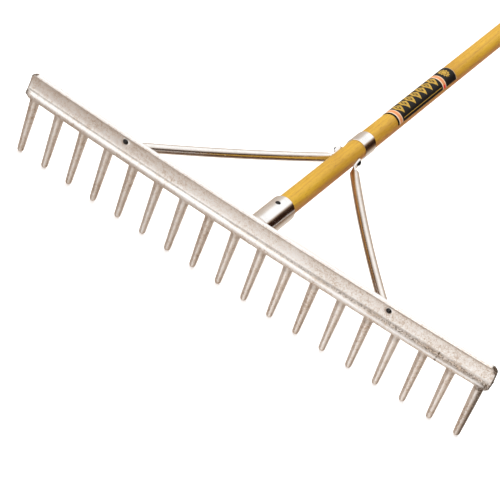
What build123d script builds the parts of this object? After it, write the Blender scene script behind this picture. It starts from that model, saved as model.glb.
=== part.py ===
from build123d import *
from math import asin, atan2, cos, degrees, hypot, radians, sin, sqrt
import os

# Landscape bow rake: a cast aluminium head with eighteen integral teeth, a steel ferrule on a
# long ash handle, and two tubular steel braces from the back of the head to a bolt through the
# handle. Millimetres. The rake stands on a floor on its tooth tips and the butt of its handle:
# +Z up, X along the head, the handle runs towards +Y, origin on the floor under its middle.

# ---- teeth ----
tooth_count = 18
tooth_pitch = 40.0
tooth_root_radius = 6.75
tooth_tip_radius = 4.6
tooth_reach = 83.7            # tooth tip below the head datum

# ---- head casting, in its own frame: +Y towards the handle, +Z away from the teeth ----
head_overhang = 14.0          # bar past the outer tooth centres
bow_radius = 9300.0           # the bar is swept back in plan on this radius
bar_bottom = 5.2
bar_top = 43.8
bar_corner_radius = 9.0
bead_height = 13.2
bead_crown = 8.2              # front bead ahead of the tooth centres: crown, foot and root
bead_foot = 6.6
bead_root = 5.2
bead_flat = 6.0               # upright part of its face
bead_back = 7.0
bead_back_slope = 3.0
web_front = 4.6
web_thickness = 5.0
top_rib_front = 6.2
top_rib_back = 1.0
top_rib_height = 2.8
top_rib_fillet = 1.2
lip_slope = 0.8               # the rib and the bead run into the web over this height
gate_width = 24.0             # ground-off casting gate under the middle of the bar
gate_front = 6.0
gate_depth = 8.0
gate_drop = 1.8
boss_radius = 18.6
boss_end = 9.0                # station of the shoulder that the ferrule stands against
spigot_end = 34.0
spigot_chamfer = 1.5
spigot_clearance = 0.05

# ---- shaft: stations run along its axis from the plane of the teeth ----
shaft_height = 20.1           # axis above the head datum, at the plane of the teeth
shaft_fall = 5.2              # degrees that the shaft leans towards the tooth tips
ferrule_radius = 17.8
ferrule_wall = 3.0
ferrule_length = 71.0
ferrule_lip = 0.8
seat_clearance = 0.1          # ferrule bore to wood
ferrule_pin_radius = 3.0
ferrule_pin_head = 4.4
ferrule_pin_dome = 1.4
ferrule_pin_station = 19.0
handle_length = 1800.0
handle_gap = 2.0              # wood to the end of the spigot
handle_taper_end = 620.0
grip_radius = 14.2
butt_rounding = 10.0
screw_station = 59.0
screw_angle = 99.0            # degrees round the shaft from +X, 90 is straight up
screw_radius = 2.0
screw_length = 16.0
screw_head_radius = 3.6
screw_head_height = 1.9

# ---- braces ----
brace_radius = 6.35
brace_wall = 1.2
brace_bow = 4.0               # the tubes are bowed inwards by this much at mid length
tongue_width = 13.0
tongue_clearance = 0.05
rivet_x = 200.0
rivet_z = 33.6
head_tongue_run = 10.5        # from the bend to the rivet
head_tongue_rise = 25.0       # degrees
head_tube_back = 12.5         # from the bend to the round tube
head_tube_in = 6.0
head_tube_drop = 4.5
bolt_station = 270.0
bolt_height = -2.0            # bolt centre above the shaft axis
handle_tongue_run = 10.7
handle_tongue_rise = 27.8
handle_tube_back = 6.8
handle_tube_out = 5.7
handle_tube_drop = 2.7

# ---- fasteners ----
pin_clearance = 0.05
rivet_radius = 2.4
rivet_head_radius = 4.0
rivet_head_height = 2.4
rivet_washer_radius = 6.5
rivet_washer_thickness = 1.2
bolt_radius = 2.5
bolt_head_radius = 4.3
bolt_head_height = 2.7
nut_across_flats = 8.0
nut_height = 4.0
nut_chamfer = 0.4
bolt_end = 1.4                # thread that stands out of the nut

# ---- collar and label on the handle ----
collar_start = 290.0
collar_end = 321.0
collar_thickness = 1.25
collar_clearance = 0.05
collar_lip = 0.4
collar_screw_radius = 1.5
collar_screw_length = 12.0
collar_screw_head_radius = 3.0
collar_screw_head_height = 1.4
label_start = 393.5
label_end = 587.5
label_from = 22.0             # degrees round the shaft
label_to = 154.0
label_thickness = 0.2
label_clearance = 0.02

# ---- worked out from the sizes above ----
bar_half = (tooth_count - 1) * tooth_pitch / 2 + head_overhang
bead_top = bar_bottom + bead_height
bead_middle = bar_bottom + bead_height / 2
rib_bottom = bar_top - top_rib_height
web_back = web_thickness - web_front
bore_radius = ferrule_radius - ferrule_wall
seat_radius = bore_radius - seat_clearance
spigot_radius = bore_radius - spigot_clearance
ferrule_end = boss_end + ferrule_length
handle_start = spigot_end + handle_gap
handle_end = handle_start + handle_length
grip_end = handle_end - butt_rounding
collar_middle = (collar_start + collar_end) / 2
tongue_thickness = 2 * brace_wall
web_tongue_depth = web_back + tongue_clearance + tongue_thickness / 2

# The resting tilt: the round tooth tips and the rounded butt touch the same floor.
fall = radians(shaft_fall)
butt_inset = grip_radius - butt_rounding
butt_run = grip_end * cos(fall) - butt_inset * sin(fall)
butt_z = shaft_height - grip_end * sin(fall) - butt_inset * cos(fall)
tip_z = tooth_tip_radius - tooth_reach
rest_span = hypot(butt_run, tip_z - butt_z)
tilt = atan2(tip_z - butt_z, butt_run) - asin((tooth_tip_radius - butt_rounding) / rest_span)
slope = fall - tilt
front_y = -bead_crown * cos(tilt) - bead_middle * sin(tilt)
back_y = handle_end * cos(slope) - shaft_height * sin(tilt)
floor_z = tip_z * cos(tilt) - tooth_tip_radius

HEAD = Plane(
    origin=(0, -(front_y + back_y) / 2, -floor_z),
    x_dir=(1, 0, 0),
    z_dir=(0, -sin(tilt), cos(tilt)),
)
SHAFT = Plane(
    origin=HEAD.from_local_coords((0, 0, shaft_height)),
    x_dir=(1, 0, 0),
    z_dir=(0, cos(slope), -sin(slope)),
)
shaft_axis = Axis(SHAFT.origin, SHAFT.z_dir)


def bow(x):
    """How far the bar is swept back at x."""
    return bow_radius - sqrt(bow_radius**2 - x**2)


def bar_frame(x):
    """Frame on the bowed bar at x: X square to the web towards the handle, Y up, Z along it."""
    lean = asin(x / bow_radius)
    back = HEAD.y_dir * cos(lean) - HEAD.x_dir * sin(lean)
    along = HEAD.x_dir * cos(lean) + HEAD.y_dir * sin(lean)
    return Plane(origin=HEAD.from_local_coords((x, bow(x), 0)), x_dir=back, z_dir=along)


def shaft_point(x, station, height):
    """A point given by its station along the shaft and its height above the axis."""
    return SHAFT.from_local_coords((x, -height, station))


def wood_radius(station):
    """The handle tapers from the ferrule mouth to its parallel grip."""
    share = (station - ferrule_end) / (handle_taper_end - ferrule_end)
    return seat_radius + (grip_radius - seat_radius) * min(max(share, 0.0), 1.0)


def radial(angle):
    """Direction round the shaft, 0 along +X and 90 straight up."""
    return SHAFT.x_dir * cos(radians(angle)) - SHAFT.y_dir * sin(radians(angle))


def turning_plane(angle):
    """Sketch plane through the shaft axis: x is the radius and y is the station."""
    outward = radial(angle)
    return Plane(origin=SHAFT.origin, x_dir=outward, z_dir=outward.cross(SHAFT.z_dir))


def dome_middle(radius, height):
    """Halfway point, as radius and height, on a round dome."""
    ball = (radius**2 + height**2) / (2 * height)
    half = asin(min(radius / ball, 1.0)) / 2
    return ball * sin(half), height - ball * (1 - cos(half))


def drill(centre, direction, radius, depth, both=False):
    """Cut a round hole in the part being built."""
    with BuildSketch(Plane(origin=centre, z_dir=direction)) as hole:
        Circle(radius)
    extrude(hole.sketch, amount=depth, both=both, mode=Mode.SUBTRACT)


def write(part, name):
    part.label = name
    export_step(part, f"parts/{name}.step")


def headed_pin(name, seat, outward, head, shank_radius, length, tail=None):
    """A domed head on a seat, its shank going the other way, and a formed tail if it has one."""
    head_radius, head_height = head
    side = Vector(*outward.cross(HEAD.z_dir)).normalized()
    mid_radius, mid_height = dome_middle(head_radius, head_height)
    with BuildPart() as pin:
        with BuildSketch(Plane(origin=seat, x_dir=side, z_dir=side.cross(outward))):
            with BuildLine():
                ThreePointArc((head_radius, 0), (mid_radius, mid_height), (0, head_height))
                Polyline((head_radius, 0), (shank_radius, 0), (shank_radius, -length))
                if tail:
                    tail_radius, tail_height = tail
                    mid_radius, mid_height = dome_middle(tail_radius, tail_height)
                    Line((shank_radius, -length), (tail_radius, -length))
                    ThreePointArc(
                        (tail_radius, -length),
                        (mid_radius, -length - mid_height),
                        (0, -length - tail_height),
                    )
                    Line((0, -length - tail_height), (0, head_height))
                else:
                    Polyline((shank_radius, -length), (0, -length), (0, head_height))
            make_face()
        revolve(axis=Axis(seat, outward))
    write(pin.part, name)


# the flat brace ends lie against the handle where it is widest under them
handle_tongue_inner = wood_radius(bolt_station - tongue_width) + tongue_clearance
handle_tongue_offset = handle_tongue_inner + tongue_thickness / 2
handle_tongue_outer = handle_tongue_inner + tongue_thickness

os.makedirs("parts", exist_ok=True)

# ---------------------------------------------------------------- head casting
with BuildPart() as rake_head:
    with BuildSketch(bar_frame(-bar_half)):
        with BuildLine():
            Polyline(
                (-bead_foot, bar_bottom),
                (-bead_crown, bead_middle - bead_flat / 2),
                (-bead_crown, bead_middle + bead_flat / 2),
                (-bead_root, bead_top),
                (-web_front, bead_top + lip_slope),
                (-web_front, rib_bottom - lip_slope),
                (-top_rib_front, rib_bottom),
                (-top_rib_front, bar_top),
                (top_rib_back, bar_top),
                (top_rib_back, rib_bottom),
                (web_back, rib_bottom - lip_slope),
                (web_back, bead_top),
                (bead_back, bead_top - bead_back_slope),
                (bead_back, bar_bottom),
                (-bead_foot, bar_bottom),
            )
        make_face()
        fillet(vertices().group_by(Axis.Y)[-1], top_rib_fillet)
    bow_axis = Axis(HEAD.from_local_coords((0, bow_radius, 0)), HEAD.z_dir)
    revolve(axis=bow_axis, revolution_arc=2 * degrees(asin(bar_half / bow_radius)))

    # the ends of the bar are rounded in the plane of the web
    with BuildSketch(Plane(origin=HEAD.origin, x_dir=HEAD.x_dir, z_dir=-HEAD.y_dir)):
        with Locations((0, (bar_bottom + bar_top) / 2)):
            RectangleRounded(2 * bar_half, bar_top - bar_bottom, bar_corner_radius)
    extrude(amount=3 * bead_crown, both=True, mode=Mode.INTERSECT)

    # ground-off gate stub
    gate_plane = HEAD.from_local_coords((0, -gate_front, 0))
    with BuildSketch(Plane(origin=gate_plane, x_dir=HEAD.x_dir, z_dir=-HEAD.y_dir)):
        with BuildLine():
            ThreePointArc(
                (-gate_width / 2, bar_bottom),
                (0, bar_bottom - gate_drop),
                (gate_width / 2, bar_bottom),
            )
            Polyline(
                (gate_width / 2, bar_bottom),
                (gate_width / 2, bead_middle),
                (-gate_width / 2, bead_middle),
                (-gate_width / 2, bar_bottom),
            )
        make_face()
    extrude(amount=-gate_depth)

    # teeth, each a tapered round prong with a round tip
    for index in range(tooth_count):
        x = (index - (tooth_count - 1) / 2) * tooth_pitch
        centre = HEAD.from_local_coords((x, bow(x), 0))
        with BuildSketch(Plane(origin=centre, x_dir=HEAD.x_dir, z_dir=-HEAD.y_dir)):
            with BuildLine():
                Polyline(
                    (0, -tooth_reach),
                    (0, bead_middle),
                    (tooth_root_radius, bead_middle),
                    (tooth_tip_radius, tip_z),
                )
                ThreePointArc(
                    (tooth_tip_radius, tip_z),
                    (tooth_tip_radius * sin(radians(45)), tip_z - tooth_tip_radius * sin(radians(45))),
                    (0, -tooth_reach),
                )
            make_face()
        revolve(axis=Axis(centre, HEAD.z_dir))

    # boss and spigot for the ferrule
    with BuildSketch(turning_plane(0)):
        with BuildLine():
            Polyline(
                (0, 0),
                (boss_radius, 0),
                (boss_radius, boss_end),
                (spigot_radius, boss_end),
                (spigot_radius, spigot_end - spigot_chamfer),
                (spigot_radius - spigot_chamfer, spigot_end),
                (0, spigot_end),
                (0, 0),
            )
        make_face()
    revolve(axis=shaft_axis)
    pin_hole = ferrule_pin_radius + pin_clearance
    pin_centre = shaft_point(0, ferrule_pin_station, 0)
    drill(pin_centre, SHAFT.x_dir, pin_hole, 2 * ferrule_radius, both=True)
    for side in (-1, 1):
        web = bar_frame(side * rivet_x)
        hole = web.from_local_coords((0, rivet_z, 0))
        drill(hole, web.x_dir, rivet_radius + pin_clearance, 2 * web_thickness, both=True)
write(rake_head.part, "rake_head")

# ---------------------------------------------------------------- ferrule
with BuildPart() as ferrule:
    with BuildSketch(turning_plane(0)):
        with BuildLine():
            Polyline(
                (bore_radius, boss_end),
                (ferrule_radius, boss_end),
                (ferrule_radius, ferrule_end - ferrule_lip),
                (ferrule_radius - ferrule_lip, ferrule_end),
                (bore_radius, ferrule_end),
                (bore_radius, boss_end),
            )
        make_face()
    revolve(axis=shaft_axis)
    drill(pin_centre, SHAFT.x_dir, pin_hole, 2 * ferrule_radius, both=True)
    screw_centre = shaft_point(0, screw_station, 0)
    drill(screw_centre, radial(screw_angle), screw_radius + pin_clearance, 2 * ferrule_radius)
write(ferrule.part, "ferrule")

headed_pin(
    "ferrule_pin",
    shaft_point(ferrule_radius, ferrule_pin_station, 0),
    SHAFT.x_dir,
    (ferrule_pin_head, ferrule_pin_dome),
    ferrule_pin_radius,
    2 * ferrule_radius,
    (ferrule_pin_head, ferrule_pin_dome),
)

# ---------------------------------------------------------------- handle
with BuildPart() as handle:
    with BuildSketch(turning_plane(0)):
        with BuildLine():
            Polyline(
                (0, handle_end),
                (0, handle_start),
                (seat_radius, handle_start),
                (seat_radius, ferrule_end),
                (grip_radius, handle_taper_end),
                (grip_radius, grip_end),
            )
            ThreePointArc(
                (grip_radius, grip_end),
                (
                    butt_inset + butt_rounding * cos(radians(45)),
                    grip_end + butt_rounding * sin(radians(45)),
                ),
                (butt_inset, handle_end),
            )
            Line((butt_inset, handle_end), (0, handle_end))
        make_face()
    revolve(axis=shaft_axis)
    bolt_centre = shaft_point(0, bolt_station, bolt_height)
    drill(bolt_centre, SHAFT.x_dir, bolt_radius + pin_clearance, 2 * seat_radius, both=True)
    screw_seat = screw_centre + radial(screw_angle) * ferrule_radius
    drill(screw_seat, -radial(screw_angle), screw_radius + pin_clearance, screw_length + 1)
    collar_radius = wood_radius(collar_middle) + collar_clearance + collar_thickness
    collar_screw_seat = shaft_point(0, collar_middle, -collar_radius)
    drill(
        collar_screw_seat,
        radial(90),
        collar_screw_radius + pin_clearance,
        collar_screw_length + 1,
    )
write(handle.part, "handle")

headed_pin(
    "handle_screw",
    screw_seat,
    radial(screw_angle),
    (screw_head_radius, screw_head_height),
    screw_radius,
    screw_length,
)

# ---------------------------------------------------------------- collar and its screw
with BuildPart() as collar:
    with BuildSketch(turning_plane(0)):
        inner_start = wood_radius(collar_start) + collar_clearance
        inner_end = wood_radius(collar_end) + collar_clearance
        with BuildLine():
            Polyline(
                (inner_start, collar_start),
                (inner_start + collar_thickness - collar_lip, collar_start),
                (inner_start + collar_thickness, collar_start + collar_lip),
                (inner_end + collar_thickness, collar_end - collar_lip),
                (inner_end + collar_thickness - collar_lip, collar_end),
                (inner_end, collar_end),
                (inner_start, collar_start),
            )
        make_face()
    revolve(axis=shaft_axis)
    drill(
        collar_screw_seat + radial(90) * collar_radius,
        -radial(90),
        collar_screw_radius + pin_clearance,
        2 * collar_radius,
    )
write(collar.part, "handle_collar")

headed_pin(
    "collar_screw",
    collar_screw_seat,
    -radial(90),
    (collar_screw_head_radius, collar_screw_head_height),
    collar_screw_radius,
    collar_screw_length,
)

# ---------------------------------------------------------------- label film
with BuildPart() as label:
    with BuildSketch(turning_plane(label_to)):
        inner_start = wood_radius(label_start) + label_clearance
        inner_end = wood_radius(label_end) + label_clearance
        with BuildLine():
            Polyline(
                (inner_start, label_start),
                (inner_start + label_thickness, label_start),
                (inner_end + label_thickness, label_end),
                (inner_end, label_end),
                (inner_start, label_start),
            )
        make_face()
    revolve(axis=shaft_axis, revolution_arc=label_to - label_from)
write(label.part, "handle_label")

# ---------------------------------------------------------------- braces


def tongue(bend, along, width_dir, run):
    """Flattened end of the tube, from its bend to a round tip about the fastener."""
    half = tongue_width / 2
    with BuildSketch(Plane(origin=bend, x_dir=along, z_dir=along.cross(width_dir))) as outline:
        with BuildLine():
            Polyline((run, -half), (0, -half), (0, half), (run, half))
            ThreePointArc((run, half), (run + half, 0), (run, -half))
        make_face()
    extrude(outline.sketch, amount=tongue_thickness / 2, both=True)


def shoulder(tube_end, tube_dir, bend, along, width_dir):
    """Where the round tube is pressed flat into the tongue."""
    with BuildSketch(Plane(origin=tube_end, x_dir=width_dir, z_dir=tube_dir)) as round_end:
        Circle(brace_radius)
    with BuildSketch(Plane(origin=bend, x_dir=width_dir, z_dir=along)) as flat_end:
        Rectangle(tongue_width, tongue_thickness)
    loft([round_end.sketch, flat_end.sketch])


web = bar_frame(rivet_x)
rise = radians(head_tongue_rise)
head_along = web.z_dir * cos(rise) + web.y_dir * sin(rise)
head_across = web.y_dir * cos(rise) - web.z_dir * sin(rise)
rivet_centre = web.from_local_coords((web_tongue_depth, rivet_z, 0))
head_bend = rivet_centre - head_along * head_tongue_run
head_end = head_bend - web.z_dir * head_tube_in + web.x_dir * head_tube_back
head_end = head_end - web.y_dir * head_tube_drop

up = -SHAFT.y_dir
rise = radians(handle_tongue_rise)
shaft_along = SHAFT.z_dir * cos(rise) + up * sin(rise)
shaft_across = up * cos(rise) - SHAFT.z_dir * sin(rise)
bolt_spot = shaft_point(handle_tongue_offset, bolt_station, bolt_height)
shaft_bend = bolt_spot - shaft_along * handle_tongue_run
shaft_end = shaft_bend + SHAFT.x_dir * handle_tube_out - SHAFT.z_dir * handle_tube_back
shaft_end = shaft_end - up * handle_tube_drop

with BuildPart() as right_brace:
    with BuildLine() as route:
        middle = (head_end + shaft_end) * 0.5 - SHAFT.x_dir * brace_bow
        ThreePointArc(head_end, middle, shaft_end)
    leaving = route.line % 0
    arriving = route.line % 1
    with BuildSketch(Plane(origin=head_end, x_dir=head_across, z_dir=leaving)):
        Circle(brace_radius)
        Circle(brace_radius - brace_wall, mode=Mode.SUBTRACT)
    sweep(path=route.line)
    shoulder(head_end, -leaving, head_bend, head_along, head_across)
    shoulder(shaft_end, arriving, shaft_bend, shaft_along, shaft_across)
    tongue(head_bend, head_along, head_across, head_tongue_run)
    tongue(shaft_bend, shaft_along, shaft_across, handle_tongue_run)
    drill(rivet_centre, web.x_dir, rivet_radius + pin_clearance, brace_radius, both=True)
    drill(bolt_spot, SHAFT.x_dir, bolt_radius + pin_clearance, brace_radius, both=True)
write(right_brace.part, "right_brace")

with BuildPart() as left_brace:
    mirror(right_brace.part, about=Plane.YZ)
write(left_brace.part, "left_brace")

# ---------------------------------------------------------------- rivets and washers at the head
washer_depth = web_back + 2 * tongue_clearance + tongue_thickness
for side, name in ((-1, "left"), (1, "right")):
    web = bar_frame(side * rivet_x)
    with BuildPart() as washer:
        washer_centre = web.from_local_coords((washer_depth, rivet_z, 0))
        with BuildSketch(Plane(origin=washer_centre, z_dir=web.x_dir)):
            Circle(rivet_washer_radius)
            Circle(rivet_radius + pin_clearance, mode=Mode.SUBTRACT)
        extrude(amount=rivet_washer_thickness)
    write(washer.part, f"{name}_rivet_washer")
    headed_pin(
        f"{name}_head_rivet",
        web.from_local_coords((-web_front, rivet_z, 0)),
        -web.x_dir,
        (rivet_head_radius, rivet_head_height),
        rivet_radius,
        web_front + washer_depth + rivet_washer_thickness,
        (rivet_head_radius, rivet_head_height),
    )

# ---------------------------------------------------------------- bolt and nut at the handle
headed_pin(
    "brace_bolt",
    shaft_point(handle_tongue_outer, bolt_station, bolt_height),
    SHAFT.x_dir,
    (bolt_head_radius, bolt_head_height),
    bolt_radius,
    2 * handle_tongue_outer + nut_height + bolt_end,
)

with BuildPart() as nut:
    nut_seat = shaft_point(-handle_tongue_outer, bolt_station, bolt_height)
    with BuildSketch(Plane(origin=nut_seat, x_dir=SHAFT.z_dir, z_dir=-SHAFT.x_dir)):
        RegularPolygon(nut_across_flats / 2, 6, major_radius=False)
    extrude(amount=nut_height)
    chamfer(nut.faces().sort_by(Axis.X)[0].edges(), nut_chamfer)
    drill(nut_seat, -SHAFT.x_dir, bolt_radius + pin_clearance, nut_height)
write(nut.part, "brace_nut")
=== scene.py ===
from math import cos, pi, radians, sin, sqrt

import bmesh
import bpy
from mathutils import Matrix, Vector, noise


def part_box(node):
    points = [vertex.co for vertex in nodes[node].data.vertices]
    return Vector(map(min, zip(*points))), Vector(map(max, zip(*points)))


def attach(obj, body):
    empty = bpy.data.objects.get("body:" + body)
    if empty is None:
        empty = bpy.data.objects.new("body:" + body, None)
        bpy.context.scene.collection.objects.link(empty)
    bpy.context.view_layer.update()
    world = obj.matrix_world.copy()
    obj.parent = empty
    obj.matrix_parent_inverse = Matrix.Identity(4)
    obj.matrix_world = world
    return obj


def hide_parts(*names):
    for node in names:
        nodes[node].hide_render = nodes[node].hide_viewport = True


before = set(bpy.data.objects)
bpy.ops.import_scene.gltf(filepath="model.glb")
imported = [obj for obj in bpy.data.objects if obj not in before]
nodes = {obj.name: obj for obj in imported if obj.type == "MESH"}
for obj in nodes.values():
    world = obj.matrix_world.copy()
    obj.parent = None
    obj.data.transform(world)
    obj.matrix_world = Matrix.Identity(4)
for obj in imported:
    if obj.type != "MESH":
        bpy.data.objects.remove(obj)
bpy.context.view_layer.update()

scene = bpy.context.scene

MM = 0.001

# ---- sizes the looks follow, as in the CAD model: millimetres, and degrees where marked ----
HEAD_TILT = radians(2.39)        # head frame about X, from the row frame
SHAFT_SLOPE = radians(2.81)      # the shaft falls towards its butt
SHAFT_HEIGHT = 20.1              # shaft axis above the head datum, at the plane of the teeth
BOW_RADIUS = 9300.0              # the bar is bowed very slightly along its length

TOOTH_COUNT = 18
TOOTH_PITCH = 40.0
LAST_TOOTH = (TOOTH_COUNT - 1) * TOOTH_PITCH / 2
TOOTH_ROOT = 6.75                # radius where the teeth leave the bar
TOOTH_TIP = 4.6                  # radius of the rounded tips
HEAD_DROP = 83.7                 # tooth tips below the head datum

BAR_HALF = LAST_TOOTH + 14.0
BAR_BOTTOM, BAR_TOP = 5.2, 43.8
BAR_CORNER = 9.0                 # rounding of the bar's corners, seen from the front
BEAD_FRONT = (-8.2, 11.8)        # y and z of the foremost point of the casting
BAR_SECTION = (                  # y and z: front from the foot up, then back down
    (-5.6, 5.2), (-6.9, 6.2), (-7.8, 8.4), (-8.2, 11.2), (-8.0, 13.6), (-7.2, 15.9), (-5.9, 17.4),
    (-4.9, 18.6), (-4.45, 20.5), (-4.0, 24.0), (-3.75, 29.0), (-3.8, 34.0), (-4.15, 38.2),
    (-4.7, 40.2), (-6.0, 41.0), (-6.4, 42.2), (-6.2, 43.4), (-5.4, 43.8), (0.2, 43.8), (1.0, 43.2),
    (1.0, 41.6), (0.8, 40.6), (0.5, 39.8), (0.4, 38.8), (0.4, 20.4), (1.2, 18.9), (4.0, 17.4),
    (6.2, 15.8), (7.0, 14.2), (7.0, 7.0), (6.4, 5.7), (5.2, 5.2),
)
CREASE_Z = 18.6                  # where the web meets the bead, at the front
NICK_AT = 278.0                  # a nick across the bead, near its right end
RIVET_X, RIVET_Z = 200.0, 33.6

FERRULE_END = 80.0
SEAT_RADIUS = 14.7               # wood inside the ferrule
GRIP_RADIUS = 14.2               # wood past the taper
TAPER_END = 620.0
LABEL_START, LABEL_END = 393.5, 587.5
LABEL_FROM, LABEL_TO = 22.0, 154.0   # degrees round the shaft
FILM = 0.18                      # thickness of the printed film
FILM_RISE = 0.20                 # its under face above the wood

# The datum: middle of the bar, at the plane of the teeth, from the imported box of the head.
head_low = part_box("rake_head")[0]
datum = Vector((
    0.0,
    head_low[1] - (BEAD_FRONT[0] * cos(HEAD_TILT) - BEAD_FRONT[1] * sin(HEAD_TILT)) * MM,
    (TOOTH_TIP + (HEAD_DROP - TOOTH_TIP) * cos(HEAD_TILT)) * MM,
))

X = Vector((1.0, 0.0, 0.0))
HEAD_BACK = Vector((0.0, cos(HEAD_TILT), sin(HEAD_TILT)))
HEAD_UP = Vector((0.0, -sin(HEAD_TILT), cos(HEAD_TILT)))


def head_point(x, y, z):
    """A point of the head frame, in millimetres, as a place in the row frame."""
    c, s = cos(HEAD_TILT), sin(HEAD_TILT)
    return datum + Vector((x, y * c - z * s, y * s + z * c)) * MM


def bow(x):
    """How far the bar has bowed back at x."""
    return BOW_RADIUS - sqrt(BOW_RADIUS**2 - x**2)


def head_coords(place_at):
    """The way back from the row frame to the head frame, with the bow taken out."""
    c, s = cos(HEAD_TILT), sin(HEAD_TILT)
    x, y, z = (place_at - datum) / MM
    return x, y * c + z * s - bow(x), z * c - y * s


shaft_origin = head_point(0.0, 0.0, SHAFT_HEIGHT)
shaft_along = Vector((0.0, cos(SHAFT_SLOPE), -sin(SHAFT_SLOPE)))
shaft_up = Vector((0.0, sin(SHAFT_SLOPE), cos(SHAFT_SLOPE)))


def shaft_point(station, angle, radius):
    """A point round the shaft: angle 0 is +X and 90 is straight up."""
    a = radians(angle)
    across = X * cos(a) + shaft_up * sin(a)
    return shaft_origin + (shaft_along * station + across * radius) * MM


def wood_radius(station):
    share = min(max((station - FERRULE_END) / (TAPER_END - FERRULE_END), 0.0), 1.0)
    return SEAT_RADIUS + (GRIP_RADIUS - SEAT_RADIUS) * share


# ------------------------------------------------------------------ node helpers
def put(tree, socket, value):
    if isinstance(value, bpy.types.NodeSocket):
        tree.links.new(value, socket)
    else:
        socket.default_value = value


def calc(tree, operation, a, b=0.0, c=0.0, clamp=False):
    node = tree.nodes.new("ShaderNodeMath")
    node.operation = operation
    node.use_clamp = clamp
    for socket, value in zip(node.inputs, (a, b, c)):
        put(tree, socket, value)
    return node.outputs[0]


def length(tree, a, b):
    square_a = calc(tree, "MULTIPLY", a, a)
    square_b = calc(tree, "MULTIPLY", b, b)
    return calc(tree, "SQRT", calc(tree, "ADD", square_a, square_b))


def apart(tree, value, middle):
    """How far a value is from the middle, either way."""
    return calc(tree, "ABSOLUTE", calc(tree, "SUBTRACT", value, middle))


def smooth(tree, value, low, high):
    """0 below low, 1 above high, smooth between. low above high turns it round."""
    node = tree.nodes.new("ShaderNodeMapRange")
    node.interpolation_type = "SMOOTHSTEP"
    turned = low > high
    put(tree, node.inputs["Value"], value)
    node.inputs["From Min"].default_value = min(low, high)
    node.inputs["From Max"].default_value = max(low, high)
    node.inputs["To Min"].default_value = 1.0 if turned else 0.0
    node.inputs["To Max"].default_value = 0.0 if turned else 1.0
    return node.outputs["Result"]


def between(tree, value, low, low_full, high_full, high):
    """1 from low_full to high_full, falling to 0 at low and at high."""
    rising = smooth(tree, value, low, low_full)
    falling = smooth(tree, value, high, high_full)
    return calc(tree, "MULTIPLY", rising, falling)


def mix(tree, factor, a, b):
    node = tree.nodes.new("ShaderNodeMix")
    node.data_type = "RGBA"
    put(tree, node.inputs[0], factor)
    put(tree, node.inputs[6], a if isinstance(a, bpy.types.NodeSocket) else (*a, 1.0))
    put(tree, node.inputs[7], b if isinstance(b, bpy.types.NodeSocket) else (*b, 1.0))
    return node.outputs[2]


def ramp(tree, factor, *stops, steps=False):
    """A colour ramp: stops are (place, grey or colour)."""
    node = tree.nodes.new("ShaderNodeValToRGB")
    put(tree, node.inputs[0], factor)
    colours = node.color_ramp
    colours.interpolation = "CONSTANT" if steps else "LINEAR"
    for n, (where, colour) in enumerate(stops):
        element = colours.elements[n] if n < 2 else colours.elements.new(where)
        element.position = where
        element.color = (colour,) * 3 + (1.0,) if isinstance(colour, float) else (*colour, 1.0)
    return node.outputs[0]


def split(tree, vector):
    node = tree.nodes.new("ShaderNodeSeparateXYZ")
    put(tree, node.inputs[0], vector)
    return node.outputs


def grain(tree, vector, scale, detail=2.0, roughness=0.5):
    node = tree.nodes.new("ShaderNodeTexNoise")
    put(tree, node.inputs["Vector"], vector)
    node.inputs["Scale"].default_value = scale
    node.inputs["Detail"].default_value = detail
    node.inputs["Roughness"].default_value = roughness
    return node.outputs["Fac"]


def place(tree, turn=0.0, scale=(1.0, 1.0, 1.0), origin=(0.0, 0.0, 0.0)):
    """Coordinates in metres from origin, turned about X and then scaled."""
    coords = tree.nodes.new("ShaderNodeTexCoord")
    shift = tree.nodes.new("ShaderNodeVectorMath")
    shift.operation = "SUBTRACT"
    tree.links.new(coords.outputs["Object"], shift.inputs[0])
    shift.inputs[1].default_value = origin
    mapping = tree.nodes.new("ShaderNodeMapping")
    tree.links.new(shift.outputs[0], mapping.inputs["Vector"])
    mapping.inputs["Rotation"].default_value = (turn, 0.0, 0.0)
    mapping.inputs["Scale"].default_value = scale
    return mapping.outputs[0]


def along_shaft(tree, stretch=1.0):
    """Coordinates along the shaft; a stretch below 1 draws a pattern out lengthwise."""
    return place(tree, SHAFT_SLOPE, (1.0, stretch, 1.0), shaft_origin)


def painted(tree, name):
    """A value written at the casting's vertices by mark_casting."""
    node = tree.nodes.new("ShaderNodeAttribute")
    node.attribute_name = name
    return node.outputs["Fac"]


def bump(tree, height, strength, distance, under=None):
    node = tree.nodes.new("ShaderNodeBump")
    node.inputs["Strength"].default_value = strength
    node.inputs["Distance"].default_value = distance
    put(tree, node.inputs["Height"], height)
    if under is not None:
        tree.links.new(under, node.inputs["Normal"])
    return node.outputs[0]


def material(name):
    made = bpy.data.materials.new(name)
    made.use_nodes = True
    shader = made.node_tree.nodes["Principled BSDF"]
    return made, made.node_tree, shader


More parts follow.
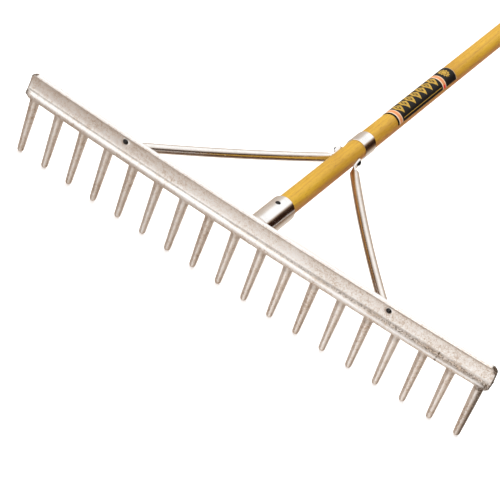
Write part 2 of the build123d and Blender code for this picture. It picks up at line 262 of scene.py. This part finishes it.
# ------------------------------------------------------------------ materials
def cast_aluminium():
    made, tree, shader = material("cast_aluminium")
    at = place(tree)
    cloud = grain(tree, at, 24.0, 3.0)
    blotch = grain(tree, at, 190.0, 3.0, 0.6)
    fleck = grain(tree, at, 520.0, 3.0, 0.75)
    sand = grain(tree, at, 1500.0, 1.0)
    tone = calc(tree, "MULTIPLY_ADD", blotch, 0.25, calc(tree, "MULTIPLY", cloud, 0.25))
    tone = calc(tree, "MULTIPLY_ADD", fleck, 0.5, tone)
    skin = ramp(tree, tone, (0.38, (0.60, 0.475, 0.37)), (0.50, (0.925, 0.875, 0.83)),
                (0.58, (0.975, 0.96, 0.945)))
    # the painted shade (with a dark nick mark) is broken up a little by the sand of the casting;
    # the painted highlights are nearly white
    broken = calc(tree, "MULTIPLY_ADD", smooth(tree, fleck, 0.36, 0.64), 0.8, 0.6)
    shade_and_nick = calc(tree, "MULTIPLY", painted(tree, "shade_and_nick"), broken, clamp=True)
    # painted shade: creases, edges, bar ends, tooth roots and the teeth's left sides go deep
    # brown, as does the nick
    skin = mix(tree, shade_and_nick, skin, (0.115, 0.078, 0.050))
    # painted highlight: the top ridge and a line along the bead go nearly white
    skin = mix(tree, painted(tree, "painted_highlight"), skin, (0.97, 0.965, 0.96))
    tree.links.new(skin, shader.inputs["Base Color"])
    shader.inputs["Metallic"].default_value = 0.93
    dull = calc(tree, "MULTIPLY_ADD", fleck, 0.16, 0.24)
    dull = calc(tree, "MULTIPLY_ADD", shade_and_nick, 0.25, dull)
    tree.links.new(dull, shader.inputs["Roughness"])
    coarse = bump(tree, fleck, 0.50, 0.0006)
    tree.links.new(bump(tree, sand, 0.30, 0.0002, coarse), shader.inputs["Normal"])
    return made


def plated_steel(name, dull, warm):
    """Drawn marks, smudges and a few dull freckles; warm takes away some green and blue."""
    made, tree, shader = material(name)
    draw = grain(tree, along_shaft(tree, 0.12), 1400.0, 2.0, 0.6)
    smudge = grain(tree, place(tree), 55.0, 4.0, 0.6)
    freckle = grain(tree, place(tree), 420.0, 3.0, 0.7)
    tone = ramp(tree, smudge, (0.35, (0.84, 0.83 - warm, 0.82 - 2.0 * warm)),
                (0.65, (0.92, 0.915 - warm, 0.91 - 2.0 * warm)))
    spots = calc(tree, "MULTIPLY", smooth(tree, freckle, 0.66, 0.74), 0.30)
    tree.links.new(mix(tree, spots, tone, (0.52, 0.47, 0.42)), shader.inputs["Base Color"])
    shader.inputs["Metallic"].default_value = 1.0
    rough = calc(tree, "MULTIPLY_ADD", smudge, 0.14, dull)
    rough = calc(tree, "MULTIPLY_ADD", spots, 0.5, rough)
    tree.links.new(rough, shader.inputs["Roughness"])
    tree.links.new(bump(tree, draw, 0.10, 0.0001), shader.inputs["Normal"])
    return made


def dark_fastener():
    """Black finish, rubbed through on the edges and in small spots."""
    made, tree, shader = material("dark_fastener")
    pale_marks = smooth(tree, grain(tree, place(tree), 700.0, 3.0, 0.7), 0.56, 0.72)
    sharp = tree.nodes.new("ShaderNodeNewGeometry").outputs["Pointiness"]
    edge = calc(tree, "MULTIPLY", smooth(tree, sharp, 0.54, 0.64), 0.7)
    bare = calc(tree, "MAXIMUM", calc(tree, "MULTIPLY", pale_marks, 0.5), edge)
    tone = mix(tree, bare, (0.018, 0.017, 0.017), (0.22, 0.21, 0.20))
    tree.links.new(tone, shader.inputs["Base Color"])
    shader.inputs["Metallic"].default_value = 0.7
    tree.links.new(calc(tree, "MULTIPLY_ADD", pale_marks, 0.25, 0.32), shader.inputs["Roughness"])
    tree.links.new(bump(tree, pale_marks, 0.15, 0.0001), shader.inputs["Normal"])
    return made


def ash():
    """Straight-grained wood: growth rings round a centre outside the shaft, threads and pores,
    with painted shade along the lower right side.
    """
    made, tree, shader = material("ash")
    axes = split(tree, along_shaft(tree))
    slow = grain(tree, along_shaft(tree, 0.06), 30.0, 2.0)
    thread = grain(tree, along_shaft(tree, 0.035), 900.0, 3.0, 0.6)
    pore = smooth(tree, grain(tree, along_shaft(tree, 0.05), 1500.0, 1.0), 0.60, 0.70)
    patch = grain(tree, along_shaft(tree, 0.25), 38.0, 3.0)

    across = calc(tree, "ADD", axes[0], 0.021)
    down = calc(tree, "ADD", axes[2], 0.034)
    lean = calc(tree, "MULTIPLY_ADD", axes[1], 0.012, across)
    reach = calc(tree, "MULTIPLY_ADD", slow, 0.008, length(tree, lean, down))
    ring = calc(tree, "FRACT", calc(tree, "MULTIPLY", reach, 330.0))
    late = smooth(tree, ring, 0.45, 0.97)

    wood = ramp(tree, patch, (0.32, (0.49, 0.255, 0.010)), (0.68, (0.61, 0.355, 0.018)))
    # painted shade: the lower right side, where shade falls, is darkened to a deep red-brown
    painted_shade_side = smooth(tree, calc(tree, "MULTIPLY_ADD", axes[2], -0.55, axes[0]), 0.003, 0.017)
    for where, strength, colour in (
        (painted_shade_side, 0.85, (0.46, 0.115, 0.008)),
        (late, 0.42, (0.36, 0.155, 0.010)),
        (smooth(tree, thread, 0.42, 0.62), 0.22, (0.66, 0.42, 0.035)),
        (pore, 0.45, (0.21, 0.085, 0.006)),
    ):
        wood = mix(tree, calc(tree, "MULTIPLY", where, strength), wood, colour)
    tree.links.new(wood, shader.inputs["Base Color"])
    shader.inputs["Roughness"].default_value = 0.50
    shader.inputs["Coat Weight"].default_value = 0.12
    shader.inputs["Coat Roughness"].default_value = 0.22
    soft = bump(tree, late, 0.10, 0.0002)
    tree.links.new(bump(tree, pore, 0.25, -0.00015, soft), shader.inputs["Normal"])
    return made


# The print on the label: stations along the shaft, angles in degrees round it.
PRINT_FROM, PRINT_SPAN = 390.0, 200.0         # stations that the print's ramp covers
LOWER_BAND = (397.5, 399.5, 406.5, 408.0)     # edge, peach, edge, panel
UPPER_BAND = (541.5, 543.5, 550.5, 552.0)
RIM = 586.5
RED_BELOW = (46.0, 40.0)                      # angles over which the upper band turns red
CHAIN_START, CHAIN_PITCH = 410.5, 18.5
CHAIN_ANGLE, CHAIN_REACH = 108.0, 104.0
PINSTRIPE_ANGLE = 40.0
BURST_AT, BURST_ANGLE = 569.0, 100.0
ARC = 0.252                                   # millimetres round the shaft for a degree
SPOKES = 12.0


def label_ground(tree, share, angle):
    """Black panels between peach bands with cream edges."""
    black, cream, peach = (0.004, 0.004, 0.004), (0.80, 0.62, 0.44), (0.66, 0.25, 0.10)

    def at(station):
        return (station - PRINT_FROM) / PRINT_SPAN

    stops = [(0.0, black)]
    for edges in (LOWER_BAND, UPPER_BAND):
        stops += [(at(s), colour) for s, colour in zip(edges, (cream, peach, cream, black))]
    ground = ramp(tree, share, *stops, (at(RIM), cream), steps=True)
    # the upper band deepens to red at its lower end
    upper = between(tree, share, at(543.2), at(543.6), at(550.5), at(550.9))
    red = calc(tree, "MULTIPLY", upper, smooth(tree, angle, *RED_BELOW))
    return mix(tree, red, ground, (0.72, 0.035, 0.02))


def label_gold(tree, station, angle):
    """The gold parts: a chain of lozenges, a pinstripe under it and a sunburst."""
    step = calc(tree, "DIVIDE", calc(tree, "SUBTRACT", station, CHAIN_START), CHAIN_PITCH)
    cell = apart(tree, calc(tree, "FRACT", step), 0.5)
    height = calc(tree, "DIVIDE", calc(tree, "SUBTRACT", angle, CHAIN_ANGLE), CHAIN_REACH)
    lozenge = calc(tree, "ADD", cell, calc(tree, "ABSOLUTE", height))
    rim = between(tree, lozenge, 0.21, 0.225, 0.455, 0.47)
    chain = calc(tree, "MAXIMUM", rim, smooth(tree, lozenge, 0.115, 0.10))
    chain = calc(tree, "MULTIPLY", chain, between(tree, station, 410.4, 410.6, 539.9, 540.1))

    stripe = smooth(tree, apart(tree, angle, PINSTRIPE_ANGLE), 2.0, 1.4)
    stripe = calc(tree, "MULTIPLY", stripe, between(tree, station, 413.0, 413.4, 537.6, 538.0))

    du = calc(tree, "SUBTRACT", station, BURST_AT)
    dv = calc(tree, "MULTIPLY", calc(tree, "SUBTRACT", angle, BURST_ANGLE), ARC)
    away = length(tree, du, dv)
    turn = calc(tree, "MULTIPLY", calc(tree, "ARCTAN2", dv, du), SPOKES)
    edge = calc(tree, "MULTIPLY_ADD", calc(tree, "COSINE", turn), 1.3, 8.2)
    burst = smooth(tree, calc(tree, "SUBTRACT", away, edge), 0.15, -0.15)
    burst = calc(tree, "MULTIPLY", burst, smooth(tree, apart(tree, away, 4.6), 0.45, 0.65))
    return calc(tree, "MAXIMUM", calc(tree, "MAXIMUM", chain, stripe), burst)


def label_print():
    made, tree, shader = material("label_print")
    uv = tree.nodes.new("ShaderNodeUVMap")
    uv.uv_map = "print"
    along, turn = split(tree, uv.outputs[0])[:2]
    station = calc(tree, "MULTIPLY", along, 1000.0)
    angle = calc(tree, "MULTIPLY", turn, 360.0)
    share = calc(tree, "DIVIDE", calc(tree, "SUBTRACT", station, PRINT_FROM), PRINT_SPAN)
    ground = label_ground(tree, share, angle)
    gold = label_gold(tree, station, angle)
    leaf = ramp(tree, grain(tree, place(tree), 600.0, 3.0),
                (0.35, (0.38, 0.22, 0.03)), (0.65, (0.56, 0.36, 0.06)))
    ink = mix(tree, gold, ground, leaf)
    # rubbed spots where the wood shows through
    scuff = smooth(tree, grain(tree, place(tree), 330.0, 4.0, 0.75), 0.69, 0.74)
    ink = mix(tree, calc(tree, "MULTIPLY", scuff, 0.7), ink, (0.60, 0.34, 0.09))
    tree.links.new(ink, shader.inputs["Base Color"])
    shader.inputs["Roughness"].default_value = 0.42
    shader.inputs["Specular IOR Level"].default_value = 0.16
    tree.links.new(bump(tree, gold, 0.3, 0.00005), shader.inputs["Normal"])
    return made


alloy = cast_aluminium()
bright = plated_steel("plated_steel", 0.10, 0.0)
tube = plated_steel("brace_steel", 0.17, 0.02)
black = dark_fastener()
timber = ash()
printed = label_print()


# ------------------------------------------------------------------ mesh helpers
def mesh_piece(shape, name):
    """The shape as an object of that name in the scene."""
    made = bpy.data.meshes.new(name)
    shape.to_mesh(made)
    shape.free()
    piece = bpy.data.objects.new(name, made)
    scene.collection.objects.link(piece)
    return piece


def smooth_faces(mesh):
    mesh.polygons.foreach_set("use_smooth", [True] * len(mesh.polygons))


def add_lathe(shape, outline, centre, axis, sideways, sides):
    """Turns (radius, height) points round an axis; a radius of 0 closes at a point."""
    other = axis.cross(sideways)
    rings = []
    for radius, height in outline:
        if radius == 0.0:
            rings.append([shape.verts.new(centre + axis * height * MM)])
            continue
        ring = []
        for k in range(sides):
            a = 2.0 * pi * k / sides
            out = (sideways * cos(a) + other * sin(a)) * radius
            ring.append(shape.verts.new(centre + (out + axis * height) * MM))
        rings.append(ring)
    for one, two in zip(rings, rings[1:]):
        for k in range(sides):
            n = (k + 1) % sides
            if len(one) == 1:
                shape.faces.new((one[0], two[n], two[k]))
            elif len(two) == 1:
                shape.faces.new((one[k], one[n], two[0]))
            else:
                shape.faces.new((one[k], one[n], two[n], two[k]))


# ------------------------------------------------------------------ head: one softened casting
BAR_STEPS = 240
TOOTH_STEPS, TIP_STEPS = 16, 5
TOOTH_SIDES, BOSS_SIDES, PAD_SIDES = 40, 72, 36
TOOTH_UNEVEN = 0.015             # teeth differ in thickness by this share
VOXEL = 1.0
RELAX_TURNS = 4
WAVE, RIPPLE = 0.12, 0.05        # unevenness of the cast skin

BOSS = (
    (0.0, -2.0), (16.6, -2.0), (18.0, -1.4), (18.6, 0.0), (18.6, 8.0), (18.0, 8.9), (14.7, 9.0),
    (14.7, 32.5), (13.2, 34.0), (0.0, 34.0),
)
RIVET_PAD = ((0.0, -4.55), (4.6, -4.55), (5.6, -3.4), (5.6, 0.0), (0.0, 0.0))
TOOTH_TOP = ((0.0, 12.0), (6.2, 12.0), (7.4, 7.5), (7.5, 5.6), (7.05, 3.4), (TOOTH_ROOT, 0.0))


def bar_reach(z):
    """Half length of the bar at a height, with its rounded corners."""
    into = max(z - (BAR_TOP - BAR_CORNER), (BAR_BOTTOM + BAR_CORNER) - z, 0.0)
    return BAR_HALF - (BAR_CORNER - sqrt(max(BAR_CORNER**2 - into**2, 0.0)))


def add_bar(shape):
    rings = []
    for i in range(BAR_STEPS + 1):
        share = 2.0 * i / BAR_STEPS - 1.0
        ring = []
        for y, z in BAR_SECTION:
            x = share * bar_reach(z)
            ring.append(shape.verts.new(head_point(x, y + bow(x), z)))
        rings.append(ring)
    count = len(BAR_SECTION)
    for one, two in zip(rings, rings[1:]):
        for j in range(count):
            k = (j + 1) % count
            shape.faces.new((one[j], one[k], two[k], two[j]))
    shape.faces.new(list(reversed(rings[0])))
    shape.faces.new(rings[-1])


def add_teeth(shape):
    for index in range(TOOTH_COUNT):
        x = (index - (TOOTH_COUNT - 1) / 2) * TOOTH_PITCH
        slim = 1.0 + TOOTH_UNEVEN * sin(index * 2.3)
        outline = list(TOOTH_TOP)
        for k in range(1, TOOTH_STEPS + 1):
            share = k / TOOTH_STEPS
            radius = (TOOTH_ROOT + (TOOTH_TIP - TOOTH_ROOT) * share) * slim
            outline.append((radius, (TOOTH_TIP - HEAD_DROP) * share))
        for k in range(1, TIP_STEPS + 1):
            a = k * pi / 2 / (TIP_STEPS + 1)
            outline.append((TOOTH_TIP * slim * cos(a), TOOTH_TIP - HEAD_DROP - TOOTH_TIP * sin(a)))
        outline.append((0.0, -HEAD_DROP))
        add_lathe(shape, outline, head_point(x, bow(x), 0.0), HEAD_UP, X, TOOTH_SIDES)


def add_rivet_pads(shape):
    for x in (-RIVET_X, RIVET_X):
        seat = head_point(x, bow(x), RIVET_Z)
        add_lathe(shape, RIVET_PAD, seat, HEAD_BACK, X, PAD_SIDES)


def band(value, middle, half, fade):
    """1 within half of the middle, falling to 0 over fade."""
    return min(max((half + fade - abs(value - middle)) / fade, 0.0), 1.0)


def rise(value, low, high):
    """0 below low, 1 above high, straight between."""
    return min(max((value - low) / (high - low), 0.0), 1.0)


def shade_and_nick_at(x, y, z, normal, right, cap):
    """Painted shade on the casting: creases and edges at the front, both ends, tooth roots, the
    teeth's left sides and the last tooth, with a dark mark along the nick.
    """
    # painted shade in the crease above the bead, under the top lip, over the left of the web, on
    # the lower bead at the left and along the foot
    middle = CREASE_Z - 0.9 * right - 1.5 * rise(x, 180.0, 340.0)
    crease = band(z, middle, 0.4 + 1.0 * right, 1.0 + 2.4 * right) * (0.50 + 0.20 * right)
    lip = rise(z, 39.0, 40.6) * rise(-y, 4.3, 5.2) * 0.16
    web = band(z, 32.0, 8.0, 6.0) * (1.0 - rise(x, -200.0, -60.0)) * 0.13
    bead = rise(15.0 - z, 0.0, 2.5) * (1.0 - rise(x, -120.0, 60.0)) * 0.18
    foot = band(z, BAR_BOTTOM, 0.9, 1.6) * 0.22 * rise(-y, 3.0, 4.4)
    nick = band(x - 0.1 * (z - 12.0), NICK_AT, 0.7, 0.9)
    nick *= rise(-y, 3.6, 4.6) * band(z, 13.0, 7.0, 1.0)
    amount = max(rise(-y, 3.2, 4.0) * max(crease, lip, web, bead), foot, nick)
    if z > 1.0:
        amount = max(
            amount,
            # painted shade on the end faces of the bar
            cap * (1.0 if x > 0.0 else 0.75),
            # painted shade at the right end of the bead, the right top corner and the left end of
            # the bead
            rise(x, BAR_HALF - 24.0, BAR_HALF - 10.0) * rise(-z, -22.0, -16.0) * 0.8,
            rise(x, BAR_HALF - 7.0, BAR_HALF - 3.0) * rise(z, 33.0, 37.0),
            rise(-x, BAR_HALF - 8.0, BAR_HALF - 3.0) * band(z, 12.5, 4.0, 2.5) * 0.7,
        )
    if z < 4.0:
        # painted shade at the tooth roots, on the left sides of the teeth and over the last tooth
        root = band(z, 3.0, 2.0, 5.0) * 0.22
        left_side = rise(-normal.x, 0.35, 0.9) * 0.12
        last_tooth = rise(x - LAST_TOOTH, 0.0, 4.0) * 0.65
        amount = max(amount, root, left_side, last_tooth)
    return amount


def highlight_at(x, y, z, right, cap):
    """Painted highlight: the top ridge and a line along the bead, but not at the ends."""
    ridge = rise(z, 43.2, 43.6) * rise(5.2 + y, 0.0, 1.2)
    shine = band(z, 15.4 - 4.0 * right, 0.7, 1.4) * 0.7 * rise(-y, 5.6, 6.6)
    ends = max(cap, rise(abs(x), BAR_HALF - 12.0, BAR_HALF - 6.0))
    return max(ridge, shine) * (1.0 - ends)


def mark_casting(made):
    """Writes the painted shade with the nick, and the painted highlight, at each vertex of the
    casting.
    """
    shade_and_nick = made.attributes.new("shade_and_nick", "FLOAT", "POINT")
    painted_highlight = made.attributes.new("painted_highlight", "FLOAT", "POINT")
    shade_and_nick_values, pale_marks = [], []
    for vertex, normal in zip(made.vertices, [v.normal.copy() for v in made.vertices]):
        x, y, z = head_coords(vertex.co)
        right = rise(x, -60.0, 240.0)
        cap = rise(abs(x), BAR_HALF - 14.0, BAR_HALF - 9.0) * rise(abs(normal.x), 0.05, 0.30)
        shade_and_nick_values.append(shade_and_nick_at(x, y, z, normal, right, cap))
        pale_marks.append(highlight_at(x, y, z, right, cap))
    shade_and_nick.data.foreach_set("value", shade_and_nick_values)
    painted_highlight.data.foreach_set("value", pale_marks)


def build_head():
    shape = bmesh.new()
    add_bar(shape)
    add_teeth(shape)
    add_lathe(shape, BOSS, shaft_origin, shaft_along, X, BOSS_SIDES)
    add_rivet_pads(shape)
    bmesh.ops.recalc_face_normals(shape, faces=shape.faces)
    piece = mesh_piece(shape, "cast_head")
    rough = piece.data
    remesh = piece.modifiers.new("remesh", "REMESH")
    remesh.mode = "VOXEL"
    remesh.voxel_size = VOXEL * MM
    relax = piece.modifiers.new("relax", "SMOOTH")
    relax.factor = 0.5
    relax.iterations = RELAX_TURNS
    ready = piece.evaluated_get(bpy.context.evaluated_depsgraph_get())
    made = bpy.data.meshes.new_from_object(ready)
    piece.modifiers.clear()
    piece.data = made
    bpy.data.meshes.remove(rough)
    made.name = "cast_head"
    for vertex, normal in zip(made.vertices, [v.normal.copy() for v in made.vertices]):
        wave = noise.noise(vertex.co * 70.0) * WAVE + noise.noise(vertex.co * 260.0) * RIPPLE
        vertex.co = vertex.co + normal * wave * MM
    mark_casting(made)
    made.materials.clear()
    made.materials.append(alloy)
    smooth_faces(made)
    return piece


head = build_head()
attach(head, "root")
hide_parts("rake_head")


# ------------------------------------------------------------------ label
def build_label():
    columns, rows = 64, 40
    shape = bmesh.new()
    film = shape.loops.layers.uv.new("print")
    grid, marks = [], {}
    for i in range(columns + 1):
        station = LABEL_START + (LABEL_END - LABEL_START) * i / columns
        line = []
        for j in range(rows + 1):
            angle = LABEL_FROM + (LABEL_TO - LABEL_FROM) * j / rows
            vertex = shape.verts.new(shaft_point(station, angle, wood_radius(station) + FILM_RISE))
            marks[vertex] = (station / 1000.0, angle / 360.0)
            line.append(vertex)
        grid.append(line)
    for i in range(columns):
        for j in range(rows):
            corners = (grid[i][j], grid[i][j + 1], grid[i + 1][j + 1], grid[i + 1][j])
            face = shape.faces.new(corners)
            face.smooth = True
            for loop in face.loops:
                loop[film].uv = marks[loop.vert]
    piece = mesh_piece(shape, "handle_print")
    piece.data.materials.append(printed)
    thick = piece.modifiers.new("film", "SOLIDIFY")
    thick.thickness = FILM * MM
    thick.offset = -1.0
    return piece


label = build_label()
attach(label, "root")
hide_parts("handle_label")

# ------------------------------------------------------------------ CAD nodes with new finishes
BRIGHT_NODES = (
    "ferrule", "handle_collar", "ferrule_pin", "left_rivet_washer", "right_rivet_washer",
    "brace_nut",
)
TUBE_NODES = ("left_brace", "right_brace")
BLACK_NODES = (
    "handle_screw", "collar_screw", "left_head_rivet", "right_head_rivet", "brace_bolt",
)


def finish_with(names, made):
    for name in names:
        mesh = nodes[name].data
        if not mesh.materials:
            mesh.materials.append(made)
        for n in range(len(mesh.materials)):
            mesh.materials[n] = made
        smooth_faces(mesh)


finish_with(BRIGHT_NODES, bright)
finish_with(TUBE_NODES, tube)
finish_with(BLACK_NODES, black)
finish_with(("handle",), timber)


# ------------------------------------------------------------------ floor
FLOOR_HALF, FLOOR_STEPS = 9.0, 12


def build_floor():
    """A pale floor with a faint glow, left out of the metal's reflections."""
    shape = bmesh.new()
    ticks = [FLOOR_HALF * (2 * i / FLOOR_STEPS - 1) for i in range(FLOOR_STEPS + 1)]
    grid = [[shape.verts.new((x, y, 0.0)) for y in ticks] for x in ticks]
    for i in range(FLOOR_STEPS):
        for j in range(FLOOR_STEPS):
            shape.faces.new((grid[i][j], grid[i + 1][j], grid[i + 1][j + 1], grid[i][j + 1]))
    piece = mesh_piece(shape, "floor")
    paper, tree, shader = material("paper")
    tone = ramp(tree, grain(tree, place(tree), 3.0, 2.0),
                (0.4, (0.90, 0.90, 0.90)), (0.6, (0.92, 0.92, 0.92)))
    tree.links.new(tone, shader.inputs["Base Color"])
    shader.inputs["Roughness"].default_value = 0.95
    shader.inputs["Specular IOR Level"].default_value = 0.1
    shader.inputs["Emission Color"].default_value = (1.0, 1.0, 1.0, 1.0)
    shader.inputs["Emission Strength"].default_value = 0.30
    piece.data.materials.append(paper)
    piece.visible_glossy = False
    return piece


build_floor()


# ------------------------------------------------------------------ room: what the metal reflects
ROOM_LIGHT = 1.15
WARM_GREEN, WARM_BLUE = 1.30, 1.60   # powers of the level: darker parts of the room are warmer


def build_room():
    world = bpy.data.worlds.new("room")
    scene.world = world
    world.use_nodes = True
    tree = world.node_tree
    tree.nodes.clear()
    coords = tree.nodes.new("ShaderNodeTexCoord")
    x, y, z = split(tree, coords.outputs["Generated"])
    level = calc(tree, "MAXIMUM", length(tree, x, y), 0.001)
    side = calc(tree, "DIVIDE", x, level)
    ahead = calc(tree, "DIVIDE", y, level)
    height = calc(tree, "MULTIPLY_ADD", z, 0.5, 0.5)
    # towards the right the pattern of the wall rises
    lifted = calc(tree, "MULTIPLY_ADD", calc(tree, "MAXIMUM", side, 0.0), -0.5, z)
    lifted = calc(tree, "MULTIPLY_ADD", lifted, 0.5, 0.5)

    def wall(factor, floor, *stops):
        """Greys from straight down (-1) to straight up (1): stops are (height, grey)."""
        return ramp(tree, factor, (0.0, floor), *((h * 0.5 + 0.5, grey) for h, grey in stops))

    back = wall(height, 0.70, (-0.45, 0.62), (-0.15, 0.40), (0.1, 0.44), (0.30, 0.55),
                (0.44, 1.0), (1.0, 1.0))
    right = wall(lifted, 0.60, (-0.72, 0.52), (-0.50, 0.14), (-0.30, 0.02), (0.12, 0.012),
                 (0.20, 0.04), (0.38, 1.0))
    far_right = wall(height, 0.50, (-0.85, 0.30), (-0.7, 0.08), (0.55, 0.02), (0.72, 1.0))
    left = wall(height, 0.50, (-0.5, 0.50), (-0.25, 0.53), (0.1, 0.56), (0.38, 0.72),
                (0.5, 0.98), (1.0, 1.0))
    far_left = wall(height, 0.46, (-0.60, 0.52), (-0.42, 0.12), (0.30, 0.06), (0.46, 0.8),
                    (1.0, 1.0))
    near = wall(height, 0.62, (-0.88, 0.80), (-0.70, 0.98), (-0.40, 1.0), (1.0, 1.0))
    near_left = wall(height, 0.42, (-0.82, 0.27), (-0.56, 0.27), (-0.46, 0.44), (-0.37, 0.95),
                     (1.0, 1.0))
    near_right = wall(height, 0.50, (-0.7, 0.66), (-0.5, 0.62), (-0.2, 0.12), (0.6, 0.10),
                      (0.85, 1.0))

    right = mix(tree, smooth(tree, side, 0.84, 0.96), right, far_right)
    far = mix(tree, smooth(tree, side, 0.25, 0.52), back, right)
    left = mix(tree, smooth(tree, side, -0.66, -0.82), left, far_left)
    far = mix(tree, smooth(tree, side, -0.30, -0.56), far, left)
    front = mix(tree, smooth(tree, side, -0.22, -0.42), near, near_left)
    front = mix(tree, smooth(tree, side, 0.20, 0.45), front, near_right)
    sky = mix(tree, smooth(tree, ahead, -0.05, -0.45), far, front)

    grey = tree.nodes.new("ShaderNodeRGBToBW")
    tree.links.new(sky, grey.inputs[0])
    tint = tree.nodes.new("ShaderNodeCombineColor")
    tree.links.new(grey.outputs[0], tint.inputs[0])
    tree.links.new(calc(tree, "POWER", grey.outputs[0], WARM_GREEN), tint.inputs[1])
    tree.links.new(calc(tree, "POWER", grey.outputs[0], WARM_BLUE), tint.inputs[2])
    light = tree.nodes.new("ShaderNodeBackground")
    tree.links.new(tint.outputs[0], light.inputs["Color"])
    light.inputs["Strength"].default_value = ROOM_LIGHT
    out = tree.nodes.new("ShaderNodeOutputWorld")
    tree.links.new(light.outputs[0], out.inputs["Surface"])


build_room()


def lamp(name, place_at, look_at, size, power, tint=(1.0, 1.0, 1.0), shine=True):
    """A round soft lamp; without shine it lights but isn't reflected."""
    data = bpy.data.lights.new(name, "AREA")
    data.shape = "DISK"
    data.size = size
    data.energy = power
    data.color = tint
    piece = bpy.data.objects.new(name, data)
    scene.collection.objects.link(piece)
    piece.location = place_at
    facing = Vector(look_at) - Vector(place_at)
    piece.rotation_euler = facing.to_track_quat("-Z", "Y").to_euler()
    piece.visible_glossy = shine


lamp("top_box", (-0.9, 0.6, 2.6), datum + Vector((0.0, 0.3, 0.0)), 1.8, 55.0, shine=False)
lamp("front_lamp", (0.35, -2.3, 1.0), datum + Vector((0.15, 0.0, 0.0)), 0.5, 6.0,
     (1.0, 0.97, 0.94))

# ------------------------------------------------------------------ camera
# A long lens from above the front right, rolled so that the bar falls to the right.
CAMERA_AT = (0.74427, -3.33920, 1.98306)
EYE_RIGHT = Vector((0.817195, 0.488713, 0.305536))
EYE_DOWN = Vector((0.527197, -0.419577, -0.738930))
EYE_AHEAD = Vector((-0.232929, 0.764928, -0.600525))

camera = bpy.data.cameras.new("camera")
camera.lens = 182.38
camera.sensor_width = 36.0
camera.sensor_fit = "HORIZONTAL"
camera.shift_x = -0.001
camera.shift_y = -0.001
camera.clip_start = 0.05
camera.clip_end = 60.0
eye = bpy.data.objects.new("camera", camera)
scene.collection.objects.link(eye)
turned = Matrix((EYE_RIGHT, -EYE_DOWN, -EYE_AHEAD)).transposed()
eye.matrix_world = Matrix.Translation(CAMERA_AT) @ turned.to_4x4()
scene.camera = eye

scene.view_settings.view_transform = "Standard"
scene.view_settings.look = "None"
scene.view_settings.exposure = 0.0
